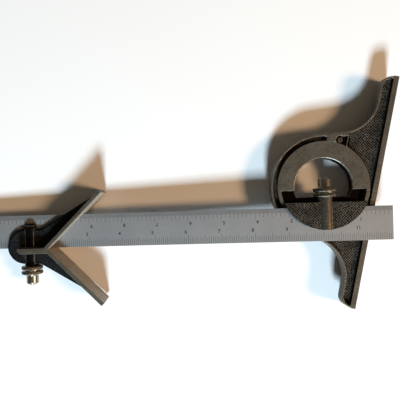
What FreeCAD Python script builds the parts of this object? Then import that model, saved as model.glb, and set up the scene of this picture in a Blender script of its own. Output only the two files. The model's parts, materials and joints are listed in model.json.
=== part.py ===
"""A combination square set as it lies in use: blade, centre head and protractor head.

The graduated blade carries two sliding heads. The centre head is a V casting whose
bisector is the blade's lower edge. The protractor head is a frame with a long base
edge and a turret that turns in it; the blade lies in a slot of the turret. Each head
holds the blade with a hooked bolt, a spring and a knurled nut, and a third nut locks
the turret in its frame.

Frame: +X along the blade, +Y across it towards the turret, +Z up to the side with
the covers. Z is zero at the lowest edge, the underside of the protractor's base, and
X and Y are zero at the middle of the whole object. Lengths are in millimetres.
"""
import FreeCAD, Part
import math
import os

import Sketcher

doc = FreeCAD.newDocument("CombinationSquareSet")
sheet = doc.addObject("Spreadsheet::Sheet", "Sizes")
os.makedirs("parts", exist_ok=True)


# A size that knows its formula

class Size:
    """A number together with the sheet formula that it comes from."""

    def __init__(self, value, formula=None):
        self.value = float(value)
        self.formula = formula if formula else repr(float(value))

    def __add__(self, other):
        other = as_size(other)
        return Size(self.value + other.value, "(%s + %s)" % (self.formula, other.formula))

    def __sub__(self, other):
        other = as_size(other)
        return Size(self.value - other.value, "(%s - %s)" % (self.formula, other.formula))

    def __mul__(self, other):
        other = as_size(other)
        return Size(self.value * other.value, "(%s * %s)" % (self.formula, other.formula))

    def __truediv__(self, other):
        other = as_size(other)
        return Size(self.value / other.value, "(%s / %s)" % (self.formula, other.formula))

    def __neg__(self):
        return Size(-self.value, "(0 - %s)" % self.formula)

    def __radd__(self, other):
        return as_size(other) + self

    def __rsub__(self, other):
        return as_size(other) - self

    def __rmul__(self, other):
        return as_size(other) * self


def as_size(number):
    """Turn a plain number into a Size."""
    return number if isinstance(number, Size) else Size(number)


ZERO = Size(0)


def root(size):
    """Square root of a Size."""
    return Size(math.sqrt(size.value), "sqrt(%s)" % size.formula)


def cosine(angle):
    """Cosine of a Size in degrees."""
    return Size(math.cos(math.radians(angle.value)), "cos(%s * 1 deg)" % angle.formula)


def sine(angle):
    """Sine of a Size in degrees."""
    return Size(math.sin(math.radians(angle.value)), "sin(%s * 1 deg)" % angle.formula)


ROW = [0]


def size(name, value):
    """Write a driving dimension into the next row of the sheet and return it."""
    ROW[0] += 1
    sheet.set("A%d" % ROW[0], name)
    sheet.set("B%d" % ROW[0], str(value))
    sheet.setAlias("B%d" % ROW[0], name)
    return Size(value, "Sizes." + name)


# Driving dimensions of the blade

blade_length = size("blade_length", 304.8)
blade_width = size("blade_width", 25.4)
blade_thickness = size("blade_thickness", 2.4)
groove_width = size("groove_width", 3.2)
groove_depth = size("groove_depth", 0.9)

# Clearances that every fit uses

slot_play = size("slot_play", 0.2)
seat_play = size("seat_play", 0.03)
turning_play = size("turning_play", 0.06)
bore_play = size("bore_play", 0.1)
face_play = size("face_play", 0.1)

# Driving dimensions of the protractor frame

protractor_angle = size("protractor_angle", 78)
turret_place_x = size("turret_place_x", 255.6)
turret_place_y = size("turret_place_y", 41.1)
base_length = size("base_length", 177.8)
base_width = size("base_width", 19.05)
base_thickness = size("base_thickness", 4.0)
base_distance = size("base_distance", 40.0)
base_shift = size("base_shift", 1.9)
frame_thickness = size("frame_thickness", 7.0)
frame_recess = size("frame_recess", 5.0)
wing_recess = size("wing_recess", 3.0)
frame_rim = size("frame_rim", 1.4)
frame_ring_radius = size("frame_ring_radius", 39.3)
wing_depth = size("wing_depth", 12.0)
wing_tip_inset = size("wing_tip_inset", 0.6)
wing_shift = size("wing_shift", 0.9)
hollow_radius = size("hollow_radius", 28.3)
shoulder_run = size("shoulder_run", 15.9)
pad_edge = size("pad_edge", 12.2)
pad_slot_angle = size("pad_slot_angle", 9.0)

# Driving dimensions of the turret and of what holds it in the frame

turret_radius = size("turret_radius", 34.4)
turret_hole_radius = size("turret_hole_radius", 21.3)
turret_hole_floor = size("turret_hole_floor", 7.9)
turret_step = size("turret_step", 2.6)
turret_step_depth = size("turret_step_depth", 3.2)
turret_side_rim = size("turret_side_rim", 2.6)
spigot_inset = size("spigot_inset", 3.4)
cover_inset = size("cover_inset", 1.8)
cover_thickness = size("cover_thickness", 1.9)
cover_edge = size("cover_edge", 12.0)
degree_ring_lip = size("degree_ring_lip", 2.0)
degree_ring_inner = size("degree_ring_inner", 23.4)
degree_ring_thickness = size("degree_ring_thickness", 2.0)
ring_screw_circle = size("ring_screw_circle", 26.6)
ring_screw_radius = size("ring_screw_radius", 1.25)
ring_screw_head = size("ring_screw_head", 2.3)
ring_screw_length = size("ring_screw_length", 5.2)
driver_slot_width = size("driver_slot_width", 0.5)
lock_groove_depth = size("lock_groove_depth", 1.2)
lock_groove_width = size("lock_groove_width", 2.4)
lock_place = size("lock_place", 2.8)
lock_angle = size("lock_angle", 9.0)
lock_shank_radius = size("lock_shank_radius", 2.0)
lock_collar_radius = size("lock_collar_radius", 3.1)
lock_head_radius = size("lock_head_radius", 2.0)
lock_head_depth = size("lock_head_depth", 0.4)
lock_pocket_half = size("lock_pocket_half", 3.8)
lock_nut_radius = size("lock_nut_radius", 6.0)
lock_nut_height = size("lock_nut_height", 4.8)
lock_nut_neck = size("lock_nut_neck", 1.9)
lock_neck_radius = size("lock_neck_radius", 4.0)
lock_nut_cap = size("lock_nut_cap", 0.6)
lock_washer_radius = size("lock_washer_radius", 4.2)
lock_washer_thickness = size("lock_washer_thickness", 0.8)

# Driving dimensions of the centre head

head_place = size("head_place", 46.3)
head_width = size("head_width", 22.2)
arm_length = size("arm_length", 59.0)
arm_thickness = size("arm_thickness", 2.8)
stem_length = size("stem_length", 23.7)
stem_thickness = size("stem_thickness", 4.1)
stem_rise = size("stem_rise", 0.8)
stem_chamfer = size("stem_chamfer", 2.2)
web_thickness = size("web_thickness", 8.4)
web_edge_radius = size("web_edge_radius", 1.6)
web_round_radius = size("web_round_radius", 13.5)
web_round_place = size("web_round_place", 20.46)
web_round_height = size("web_round_height", 1.6)
web_upper_turn = size("web_upper_turn", 6.8)
web_lower_turn = size("web_lower_turn", 8.4)
web_upper_inset = size("web_upper_inset", 0.6)
web_lower_inset = size("web_lower_inset", 7.8)
web_root = size("web_root", 0.7)
head_bolt_place = size("head_bolt_place", 16.2)
head_boss_end = size("head_boss_end", 13.5)
head_boss_reach = size("head_boss_reach", 17.6)

# Driving dimensions that both clamps share

boss_radius = size("boss_radius", 5.3)
clamp_travel = size("clamp_travel", 0.5)
bolt_radius = size("bolt_radius", 3.5)
bolt_neck_radius = size("bolt_neck_radius", 2.4)
bolt_body_length = size("bolt_body_length", 5.4)
bolt_neck_end = size("bolt_neck_end", 11.6)
tongue_width = size("tongue_width", 2.6)
tongue_height = size("tongue_height", 0.75)
tongue_length = size("tongue_length", 3.5)
bolt_leg_end = size("bolt_leg_end", 1.7)
spring_wire = size("spring_wire", 0.6)
spring_turns = size("spring_turns", 4)
nut_radius = size("nut_radius", 8.1)
nut_rim = size("nut_rim", 2.8)
nut_bevel = size("nut_bevel", 0.5)
nut_gap = size("nut_gap", 0.9)
nut_gap_radius = size("nut_gap_radius", 6.6)
nut_hub_radius = size("nut_hub_radius", 4.7)
nut_hub_length = size("nut_hub_length", 6.1)
nut_shoulder = size("nut_shoulder", 0.9)
nut_dome = size("nut_dome", 1.4)
nut_dome_radius = size("nut_dome_radius", 2.9)

# Levels and places worked out from the sizes

frame_top = base_width
blade_bottom = frame_top + slot_play
blade_middle = blade_bottom + blade_thickness / 2
blade_top = blade_bottom + blade_thickness

base_cos = cosine(protractor_angle)
base_sin = sine(protractor_angle)
corner_x = turret_place_x + (base_length / 2 + base_shift) * base_cos + base_distance * base_sin
middle_x = corner_x / 2
middle_y = (turret_place_y + base_shift * base_sin
            - (base_distance - base_thickness / 2) * base_cos)
turret_x = turret_place_x - middle_x
turret_y = turret_place_y - middle_y
edge_y = -middle_y
head_x = head_place - middle_x


# Building helpers

def bind(thing, prop, value):
    """Tie one property of an object to the formula of a Size."""
    thing.setExpression(prop, as_size(value).formula)


def new_body(name, x=0, y=0, z=0, turn=None):
    """Start a body whose own origin sits at x, y, z, turned about Z."""
    body = doc.addObject("PartDesign::Body", name)
    body.Label = name
    body.Placement = FreeCAD.Placement(
        FreeCAD.Vector(0, 0, 0), FreeCAD.Rotation(FreeCAD.Vector(0, 0, 1), 1 if turn else 0))
    for prop, value in (("Placement.Base.x", x), ("Placement.Base.y", y), ("Placement.Base.z", z)):
        bind(body, prop, value)
    if turn:
        bind(body, "Placement.Rotation.Angle", turn)
    return body


TURN_TO = {
    "+Z": FreeCAD.Rotation(),
    "-Z": FreeCAD.Rotation(FreeCAD.Vector(1, 0, 0), 180),
    "+Y": FreeCAD.Rotation(FreeCAD.Vector(1, 0, 0), -90),
    "-Y": FreeCAD.Rotation(FreeCAD.Vector(1, 0, 0), 90),
    "+X": FreeCAD.Rotation(FreeCAD.Vector(0, 1, 0), 90),
}


def solid(body, kind, name, at, sizes, direction="+Z"):
    """Add or cut a primitive: kind is such as AdditiveBox or SubtractiveCylinder."""
    feature = body.newObject("PartDesign::" + kind, name)
    feature.Placement = FreeCAD.Placement(FreeCAD.Vector(0, 0, 0), TURN_TO[direction])
    for axis, value in zip("xyz", at):
        bind(feature, "Placement.Base." + axis, value)
    for prop, value in sizes.items():
        setattr(feature, prop, as_size(value).value)
        bind(feature, prop, value)
    doc.recompute()
    return feature


def block(body, name, low, high, cut=False):
    """Add, or cut, a box between two opposite corners."""
    sizes = {"Length": high[0] - low[0], "Width": high[1] - low[1], "Height": high[2] - low[2]}
    return solid(body, "SubtractiveBox" if cut else "AdditiveBox", name, low, sizes)


def rod(body, name, at, radius, length, direction, cut=False):
    """Add, or cut, a cylinder that runs from a point along a direction."""
    kind = "SubtractiveCylinder" if cut else "AdditiveCylinder"
    return solid(body, kind, name, at, {"Radius": radius, "Height": length}, direction)


def taper(body, name, at, radius, end_radius, length, direction, cut=False):
    """Add, or cut, a cone that runs from a point along a direction."""
    kind = "SubtractiveCone" if cut else "AdditiveCone"
    sizes = {"Radius1": radius, "Radius2": end_radius, "Height": length}
    return solid(body, kind, name, at, sizes, direction)


def plane_of(body, role):
    """Find a body's own origin plane by its role."""
    return [item for item in body.Origin.OriginFeatures if item.Role == role][0]


def number_of(value):
    """The plain number of a Size or number."""
    return as_size(value).value


def sketch_outline(body, name, level, steps, role="XY_Plane"):
    """Draw a closed outline on a plane of the body, at a level above it.

    Each step is the end point of an edge. A step of two sizes ends a straight edge.
    A step of four, (x, y, radius, centre), ends an arc, and centre is the pair of
    numbers that says on which side it bulges. The first edge starts at the last
    step's point.
    """
    sketch = body.newObject("Sketcher::SketchObject", name)
    sketch.AttachmentSupport = [(plane_of(body, role), "")]
    sketch.MapMode = "FlatFace"
    bind(sketch, "AttachmentOffset.Base.z", level)
    edges = []
    last = steps[-1]
    for step in steps:
        start = FreeCAD.Vector(number_of(last[0]), number_of(last[1]), 0)
        end = FreeCAD.Vector(number_of(step[0]), number_of(step[1]), 0)
        if len(step) == 2:
            edges.append((sketch.addGeometry(Part.LineSegment(start, end)), 1, 2))
        else:
            edges.append(add_arc(sketch, start, end, step))
        last = step
    for number, step in enumerate(steps):
        edge, first, second = edges[number]
        after, after_first, after_second = edges[(number + 1) % len(edges)]
        sketch.addConstraint(Sketcher.Constraint("Coincident", edge, second, after, after_first))
        pin(sketch, edge, second, step)
    for (edge, first, second), step in zip(edges, steps):
        if len(step) == 4:
            radius = sketch.addConstraint(
                Sketcher.Constraint("Radius", edge, number_of(step[2])))
            bind(sketch, "Constraints[%d]" % radius, step[2])
    doc.recompute()
    return sketch


def add_arc(sketch, start, end, step):
    """Add the shorter arc between two points about a centre, with its end numbers."""
    centre = FreeCAD.Vector(number_of(step[3][0]), number_of(step[3][1]), 0)
    first = math.atan2(start.y - centre.y, start.x - centre.x)
    second = math.atan2(end.y - centre.y, end.x - centre.x)
    circle = Part.Circle(centre, FreeCAD.Vector(0, 0, 1), number_of(step[2]))
    if (second - first) % math.tau < math.pi:
        return sketch.addGeometry(Part.ArcOfCircle(circle, first, second)), 1, 2
    return sketch.addGeometry(Part.ArcOfCircle(circle, second, first)), 2, 1


def pin(sketch, edge, end, step):
    """Hold one end of an edge at the point that its two sizes give."""
    for kind, value in (("DistanceX", step[0]), ("DistanceY", step[1])):
        held = sketch.addConstraint(
            Sketcher.Constraint(kind, -1, 1, edge, end, number_of(value)))
        bind(sketch, "Constraints[%d]" % held, value)


def pad(body, name, sketch, length, cut=False, down=False):
    """Pad or pocket an outline by a length, up by default or down."""
    feature = body.newObject("PartDesign::Pocket" if cut else "PartDesign::Pad", name)
    feature.Profile = sketch
    feature.Reversed = (not down) if cut else down
    feature.Length = number_of(length)
    bind(feature, "Length", length)
    doc.recompute()
    return feature


def turned(body, name, points, role, cut=False):
    """Turn a profile about the upright axis of one of the body's planes."""
    sketch = sketch_outline(body, name + "_profile", 0, points, role)
    feature = body.newObject("PartDesign::Groove" if cut else "PartDesign::Revolution", name)
    feature.Profile = sketch
    feature.ReferenceAxis = (sketch, ["V_Axis"])
    feature.Angle = 360
    doc.recompute()
    return feature


# The blade: a flat rule with a groove for the hooked bolts along its underside

blade = new_body("blade", -middle_x, edge_y, blade_bottom)
block(blade, "blade_bar", (0, 0, 0), (blade_length, blade_width, blade_thickness))
block(blade, "blade_groove",
      (-face_play, blade_width / 2 - groove_width / 2, -face_play),
      (blade_length + face_play, blade_width / 2 + groove_width / 2, groove_depth), cut=True)


# The centre head, drawn about the point of its V at the middle of the blade's thickness

arm_unit = Size(math.sqrt(0.5), "sqrt(0.5)")
arm_reach = arm_length * arm_unit
arm_offset = arm_thickness * arm_unit
slot_half = blade_thickness / 2 + slot_play
half_width = head_width / 2
seat_level = -seat_play
clamp_bore_depth = (blade_width + groove_width) / 2 + bolt_leg_end + clamp_travel + bore_play


def centre_arm(body, name, side):
    """One arm of the V: inner face on the 45 degree line, its end square."""
    steps = [(arm_reach, side * arm_reach),
             (arm_reach - arm_offset, side * (arm_reach + arm_offset)),
             (-arm_offset * 2, ZERO),
             (ZERO, ZERO)]
    return pad(body, name, sketch_outline(body, name + "_outline", -half_width, steps), head_width)


def web_corner(inset, side):
    """Where the web ends inside an arm, at an inset from the arm's end."""
    along = (arm_length - inset) * arm_unit
    across = (arm_thickness - web_root) * arm_unit
    return (along - across, side * (along + across))


def web_outline(body):
    """The web: round at the stem's end, straight over the stem, then out along both arms."""
    round_x = -web_round_place
    top = web_round_height + web_round_radius
    low = web_round_height - web_round_radius
    centre = (number_of(round_x), number_of(web_round_height))
    steps = [(round_x, low),
             (round_x - web_round_radius, web_round_height, web_round_radius, centre),
             (round_x, top, web_round_radius, centre),
             (-web_upper_turn, top),
             web_corner(web_upper_inset, 1),
             (-arm_offset, ZERO),
             web_corner(web_lower_inset, -1),
             (-web_lower_turn, low)]
    return sketch_outline(body, "web_outline", -web_thickness / 2, steps)


SAME_LEVEL = 0.01


def near(vertex, point):
    """Whether a vertex lies at a point in plan."""
    return math.hypot(vertex.X - number_of(point[0]), vertex.Y - number_of(point[1])) < SAME_LEVEL


def round_edges(body, name, feature, radius, levels, hidden_end):
    """Round a feature's edges at the levels, but not those that end at the hidden point."""
    doc.recompute()
    names = ["Edge%d" % (number + 1) for number, edge in enumerate(feature.Shape.Edges)
             if edge.BoundBox.ZLength < SAME_LEVEL
             and min(abs(edge.BoundBox.ZMin - level.value) for level in levels) < SAME_LEVEL
             and not any(near(vertex, hidden_end) for vertex in edge.Vertexes)]
    fillet = body.newObject("PartDesign::Fillet", name)
    fillet.Base = (feature, names)
    fillet.Radius = radius.value
    bind(fillet, "Radius", radius)
    doc.recompute()
    return fillet


def stem_steps():
    """The stem in plan, a little past the blade's edge, with its lower far corner cut away."""
    top = seat_level + stem_rise
    low = top - stem_thickness
    return [(-stem_length, top), (-stem_length, low + stem_chamfer),
            (stem_chamfer - stem_length, low), (ZERO, low), (ZERO, top)]


center_head = new_body("center_head_body", head_x, edge_y, blade_middle)
web = pad(center_head, "web", web_outline(center_head), web_thickness)
round_edges(center_head, "web_edges", web, web_edge_radius,
            (web_thickness / 2, -web_thickness / 2), (-arm_offset, ZERO))
centre_arm(center_head, "upper_arm", 1)
centre_arm(center_head, "lower_arm", -1)
pad(center_head, "stem", sketch_outline(center_head, "stem_outline", -half_width, stem_steps()),
    head_width)
rod(center_head, "clamp_boss", (-head_bolt_place, -head_boss_end, ZERO),
    boss_radius, head_boss_end + head_boss_reach, "+Y")
taper(center_head, "clamp_boss_end", (-head_bolt_place, head_boss_reach, ZERO),
      boss_radius, bolt_radius, boss_radius - bolt_radius, "+Y")
block(center_head, "blade_slot",
      (-blade_length, seat_level, -slot_half),
      (blade_length, blade_width + slot_play, slot_half), cut=True)
rod(center_head, "clamp_bore", (-head_bolt_place, -head_boss_end - face_play, ZERO),
    bolt_radius + bore_play, head_boss_end + face_play + clamp_bore_depth, "+Y", cut=True)


# The clamp that both heads use, drawn along +Y away from the blade's seated edge

tongue_middle = blade_width / 2


def clamp_bolt(name, x, y, side, seat_distance):
    """A hooked bolt: round body, flat leg beside the blade, tongue in its groove.

    side is 1 where the nut lies towards +Y and -1 where it lies towards -Y. The
    distance is from the blade's seated edge to the face that the nut bears on.
    """
    body = new_body(name, x, y, blade_middle)
    away = "+Y" if side > 0 else "-Y"
    body_start = seat_play + bore_play + clamp_travel
    leg_far = -(tongue_middle + groove_width / 2 + bolt_leg_end)
    rod(body, "round", (ZERO, side * leg_far, ZERO),
        bolt_radius, seat_distance - bolt_body_length - leg_far, away)
    past_bolt = bolt_radius + face_play
    cut_low, cut_high = order(side * (leg_far - face_play), side * body_start)
    block(body, "flat", (-past_bolt, cut_low, -slot_half),
          (past_bolt, cut_high, past_bolt), cut=True)
    rod(body, "neck", (ZERO, side * body_start, ZERO),
        bolt_neck_radius, seat_distance + bolt_neck_end - body_start, away)
    near = -(tongue_middle - groove_width / 2) - seat_play
    low, high = order(side * (near - tongue_width), side * near)
    block(body, "tongue", (-tongue_length / 2, low, -slot_half - tongue_height),
          (tongue_length / 2, high, -blade_thickness / 2 + tongue_height))
    return body


def order(first, second):
    """Two sizes in rising order."""
    return (first, second) if first.value < second.value else (second, first)


def clamp_nut(name, x, y, side):
    """The knurled nut: two rims, a waist between them, a hub and a domed end."""
    body = new_body(name, x, y, blade_middle)
    away = "+Y" if side > 0 else "-Y"
    first_end = seat_play + nut_rim
    second = first_end + nut_gap
    hub = second + nut_rim
    tip = hub + nut_shoulder + nut_hub_length
    turned(body, "turned_nut",
           [(ZERO, side * seat_play),
            (nut_radius - nut_bevel, side * seat_play),
            (nut_radius, side * (seat_play + nut_bevel)),
            (nut_radius, side * (first_end - nut_bevel)),
            (nut_radius - nut_bevel, side * first_end),
            (nut_gap_radius, side * first_end),
            (nut_gap_radius, side * second),
            (nut_radius - nut_bevel, side * second),
            (nut_radius, side * (second + nut_bevel)),
            (nut_radius, side * (hub - nut_bevel)),
            (nut_radius - nut_bevel, side * hub),
            (nut_gap_radius, side * hub),
            (nut_hub_radius, side * (hub + nut_shoulder)),
            (nut_hub_radius, side * tip),
            (nut_dome_radius, side * (tip + nut_dome)),
            (ZERO, side * (tip + nut_dome))], "XY_Plane")
    rod(body, "thread", (ZERO, side * (seat_play - face_play), ZERO),
        bolt_neck_radius + turning_play, bolt_neck_end + face_play + clamp_travel,
        away, cut=True)
    return body


def clamp_spring(name, x, y, side, seat_distance):
    """The coil spring on the bolt's neck, between the bolt's shoulder and the nut."""
    body = new_body(name, x, y, blade_middle)
    half_wire = spring_wire / 2
    start = seat_distance - bolt_body_length + half_wire + bore_play
    across = bolt_radius - half_wire
    wire = body.newObject("Sketcher::SketchObject", "wire")
    wire.AttachmentSupport = [(plane_of(body, "XY_Plane"), "")]
    wire.MapMode = "FlatFace"
    place = FreeCAD.Vector(across.value, side * start.value, 0)
    wire.addGeometry(Part.Circle(place, FreeCAD.Vector(0, 0, 1), half_wire.value))
    pin(wire, 0, 3, (across, side * start))
    bind(wire, "Constraints[%d]" % wire.addConstraint(
        Sketcher.Constraint("Radius", 0, half_wire.value)), half_wire)
    doc.recompute()
    coil = body.newObject("PartDesign::AdditiveHelix", "coil")
    coil.Profile = wire
    coil.ReferenceAxis = (wire, ["V_Axis"])
    coil.Mode = 0
    coil.Reversed = side < 0
    height = bolt_body_length - spring_wire - bore_play * 2
    for prop, value in (("Height", height), ("Pitch", height / spring_turns)):
        setattr(coil, prop, value.value)
        bind(coil, prop, value)
    doc.recompute()
    return body


center_bolt_x = head_x - head_bolt_place
clamp_bolt("center_head_clamp_bolt", center_bolt_x, edge_y, -1, head_boss_end)
clamp_spring("center_head_clamp_spring", center_bolt_x, edge_y, -1, head_boss_end)
clamp_nut("center_head_clamp_nut", center_bolt_x, edge_y - head_boss_end, -1)


# The protractor frame, drawn about the turret's axis with its base along X

frame_bottom_edge = -base_distance
recess_edge = base_thickness - base_distance
frame_floor = frame_top - frame_recess
wing_floor = frame_top - wing_recess
frame_back = frame_top - frame_thickness
hollow_y = wing_depth - base_distance + hollow_radius
shoulder_reach = frame_ring_radius + hollow_radius
shoulder_square = shoulder_reach * shoulder_reach + shoulder_run * shoulder_run
hollow_place = root(shoulder_square - hollow_y * hollow_y)


def tangent_points(inset):
    """Where the straight shoulder leaves the wing's hollow, and where it meets the ring."""
    ring = frame_ring_radius - inset
    hollow = hollow_radius + inset
    normal_x = (shoulder_reach * hollow_place - shoulder_run * hollow_y) / shoulder_square
    normal_y = (shoulder_reach * hollow_y + shoulder_run * hollow_place) / shoulder_square
    return (hollow_place - hollow * normal_x, hollow_y - hollow * normal_y), (
        ring * normal_x, ring * normal_y)


def frame_steps(inset, foot=()):
    """The frame's outline, or its recess at an inset: both wings and the ring over them.

    The tips are arcs that start level with the recess's edge. A foot is a level below
    it, to which the outline goes straight down at both ends.
    """
    ring = frame_ring_radius - inset
    hollow = hollow_radius + inset
    top = wing_depth - inset - base_distance
    touch, ring_touch = tangent_points(inset)
    tip_radius = wing_depth - base_thickness - inset
    tip_x = base_length / 2 - wing_tip_inset - wing_depth + base_thickness
    tip_end = tip_x + tip_radius

    def wing(side):
        """One wing's points from its tip to the ring, with the arcs' radius and centre."""
        tip_centre = (tip_x * side + base_shift, recess_edge)
        hollow_centre = (hollow_place * side + wing_shift, hollow_y)
        points = [(tip_end * side + base_shift, recess_edge),
                  (tip_x * side + base_shift, top),
                  (hollow_place * side + wing_shift, top),
                  (touch[0] * side + wing_shift, touch[1]),
                  (ring_touch[0] * side, ring_touch[1])]
        return points, (tip_radius, tip_centre), (hollow, hollow_centre)

    right, right_tip, right_hollow = wing(1)
    left, left_tip, left_hollow = wing(-1)
    over_ring = (ring, (0, 0))
    feet = [(side * tip_end + base_shift, level) for level in foot for side in (-1, 1)]
    return [right[0], right[1] + right_tip, right[2], right[3] + right_hollow, right[4],
            (ZERO, ring) + over_ring, left[4] + over_ring, left[3],
            left[2] + left_hollow, left[1], left[0] + left_tip] + feet


def pad_steps():
    """The solid pad between the end of the ring's channel and the upper wing's recess."""
    outer = frame_ring_radius - frame_rim / 2
    across, up = cosine(pad_slot_angle), sine(pad_slot_angle)
    hollow, drop = hollow_radius + frame_rim / 2, hollow_y + pad_edge
    side = hollow_place + wing_shift - root(hollow * hollow - drop * drop)
    return [(spigot_radius / 2, -pad_edge), (side, -pad_edge),
            (outer * across, outer * up), (spigot_radius * across / 2, spigot_radius * up / 2)]


def lock_pocket_steps():
    """The pocket that widens from the lock bolt to one rim's width inside the pad's edge."""
    low = frame_rim - pad_edge
    return [(lock_x - lock_pocket_half, low), (lock_x + lock_pocket_half, low),
            (lock_x + lock_collar_radius, lock_y), (lock_x - lock_collar_radius, lock_y)]


spigot_radius = turret_radius - spigot_inset
spigot_bore = spigot_radius + turning_play
turret_bore = turret_radius + turning_play
lock_circle = turret_radius + lock_place
lock_x = lock_circle * cosine(lock_angle)
lock_y = -lock_circle * sine(lock_angle)
lock_well = lock_collar_radius + bore_play
channel_outer = frame_ring_radius - frame_rim
channel_middle = (channel_outer + turret_bore) / 2
channel_half = (channel_outer - turret_bore) / 2

frame = new_body("protractor_body", turret_x, turret_y, 0, protractor_angle)
pad(frame, "plate", sketch_outline(frame, "plate_outline", frame_back,
                                   frame_steps(ZERO, (frame_bottom_edge,))), frame_thickness)
block(frame, "base",
      (base_shift - base_length / 2, frame_bottom_edge, ZERO),
      (base_shift + base_length / 2, recess_edge, frame_top))
pad(frame, "recess", sketch_outline(frame, "recess_outline", wing_floor,
                                    frame_steps(frame_rim)),
    wing_recess + face_play, cut=True)
pad(frame, "pad", sketch_outline(frame, "pad_outline", frame_floor - face_play, pad_steps()),
    frame_recess + face_play)
rod(frame, "channel_end", (channel_middle * cosine(pad_slot_angle),
                           channel_middle * sine(pad_slot_angle), wing_floor), channel_half,
    wing_recess + face_play, "+Z", cut=True)
rod(frame, "turret_bore", (ZERO, ZERO, frame_floor), turret_bore,
    frame_recess + face_play, "+Z", cut=True)
rod(frame, "spigot_bore", (ZERO, ZERO, frame_back - face_play), spigot_bore,
    frame_thickness, "+Z", cut=True)
rod(frame, "lock_well", (lock_x, lock_y, frame_floor), lock_well,
    frame_recess + face_play, "+Z", cut=True)
pad(frame, "lock_pocket", sketch_outline(frame, "lock_pocket_outline", frame_floor,
                                         lock_pocket_steps()), frame_recess + face_play, cut=True)
rod(frame, "lock_hole", (lock_x, lock_y, frame_back - face_play),
    lock_shank_radius + bore_play, frame_thickness, "+Z", cut=True)


# The turret, drawn about its own axis with X along the blade

flange_low = frame_floor + face_play
spigot_low = frame_back - face_play
cover_low = blade_top + slot_play
cover_top = cover_low + cover_thickness
cover_radius = turret_radius - cover_inset
blade_edge = blade_width - turret_place_y
turret_seat = blade_edge + seat_play
hole_floor = -turret_hole_floor
turret_seat_distance = hole_floor - blade_edge
lock_groove_level = (frame_floor + frame_top) / 2
past_turret = turret_radius + face_play


def hole_steps():
    """The finger hole: a circle cut off by a straight wall on the blade's side."""
    half = root(turret_hole_radius * turret_hole_radius - turret_hole_floor * turret_hole_floor)
    circle = (turret_hole_radius, (0, 0))
    return [(half, hole_floor), (ZERO, turret_hole_radius) + circle,
            (-half, hole_floor) + circle]


def step_steps():
    """The sunk step between the ring's straight edge and the cover, inside the side rims."""
    radius = turret_radius - turret_side_rim
    low = root(radius * radius - cover_edge * cover_edge)
    high = root(radius * radius - turret_step * turret_step)
    circle = (radius, (0, 0))
    return [(low, -cover_edge), (high, -turret_step) + circle, (-high, -turret_step),
            (-low, -cover_edge) + circle]


def around(count, radius, start):
    """Points evenly spaced round a circle, as pairs of sizes."""
    angles = [start + 360.0 * number / count for number in range(count)]
    return [(radius * Size(math.cos(math.radians(a))), radius * Size(math.sin(math.radians(a))))
            for a in angles]


SCREW_COUNT = 4
FIRST_SCREW_ANGLE = 45
screw_places = around(SCREW_COUNT, ring_screw_circle, FIRST_SCREW_ANGLE)

turret = new_body("protractor_turret", turret_x, turret_y)
rod(turret, "flange", (ZERO, ZERO, flange_low), turret_radius, frame_top - flange_low, "+Z")
rod(turret, "spigot", (ZERO, ZERO, spigot_low), spigot_radius, frame_top - spigot_low, "+Z")
rod(turret, "cover", (ZERO, ZERO, frame_top), cover_radius, cover_top - frame_top, "+Z")
block(turret, "above_ring", (-past_turret, -cover_edge, frame_top),
      (past_turret, past_turret, cover_top + face_play), cut=True)
step_floor = frame_top - turret_step_depth
pad(turret, "sunk_step", sketch_outline(turret, "step_outline", step_floor, step_steps()),
    turret_step_depth + face_play, cut=True)
pad(turret, "finger_hole", sketch_outline(turret, "hole_outline", spigot_low - face_play,
                                          hole_steps()),
    frame_top - spigot_low + face_play * 2, cut=True)
boss_far = cover_radius - seat_play
rod(turret, "clamp_boss", (ZERO, hole_floor, blade_middle), boss_radius,
    boss_far - turret_hole_floor, "-Y")
block(turret, "blade_slot", (-past_turret, -past_turret, frame_top),
      (past_turret, turret_seat, cover_low), cut=True)
rod(turret, "clamp_bore", (ZERO, hole_floor + face_play, blade_middle),
    bolt_radius + bore_play,
    face_play + turret_seat_distance + clamp_bore_depth, "-Y", cut=True)
turned(turret, "lock_groove",
       [(turret_radius - lock_groove_depth, lock_groove_level),
        (past_turret, lock_groove_level - lock_groove_width / 2 - face_play),
        (past_turret, lock_groove_level + lock_groove_width / 2 + face_play)],
       "XZ_Plane", cut=True)
for number, (x, y) in enumerate(screw_places):
    rod(turret, "screw_hole_%d" % number, (x, y, spigot_low - face_play),
        ring_screw_radius + turning_play,
        ring_screw_length - degree_ring_thickness + bore_play * 2, "+Z", cut=True)


# The degree ring on the turret's back, which keeps the turret in the frame

ring_low = spigot_low - degree_ring_thickness
head_depth = ring_screw_head - ring_screw_radius

ring = new_body("turret_degree_ring", turret_x, turret_y)
rod(ring, "disc", (ZERO, ZERO, ring_low), spigot_radius + degree_ring_lip,
    degree_ring_thickness, "+Z")
rod(ring, "opening", (ZERO, ZERO, ring_low - face_play), degree_ring_inner,
    degree_ring_thickness + face_play * 2, "+Z", cut=True)
screws = new_body("degree_ring_screws", turret_x, turret_y)
if hasattr(screws, "AllowCompound"):
    screws.AllowCompound = True
for number, (x, y) in enumerate(screw_places):
    taper(ring, "sink_%d" % number, (x, y, ring_low), ring_screw_head + turning_play,
          ring_screw_radius + turning_play, head_depth, "+Z", cut=True)
    rod(ring, "hole_%d" % number, (x, y, ring_low), ring_screw_radius + turning_play,
        degree_ring_thickness + face_play, "+Z", cut=True)
    taper(screws, "head_%d" % number, (x, y, ring_low), ring_screw_head, ring_screw_radius,
          head_depth, "+Z")
    rod(screws, "shank_%d" % number, (x, y, ring_low + head_depth / 2), ring_screw_radius,
        ring_screw_length - head_depth / 2, "+Z")
    block(screws, "driver_slot_%d" % number,
          (x - ring_screw_head, y - driver_slot_width / 2, ring_low),
          (x + ring_screw_head, y + driver_slot_width / 2, ring_low + head_depth / 2), cut=True)


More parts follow.
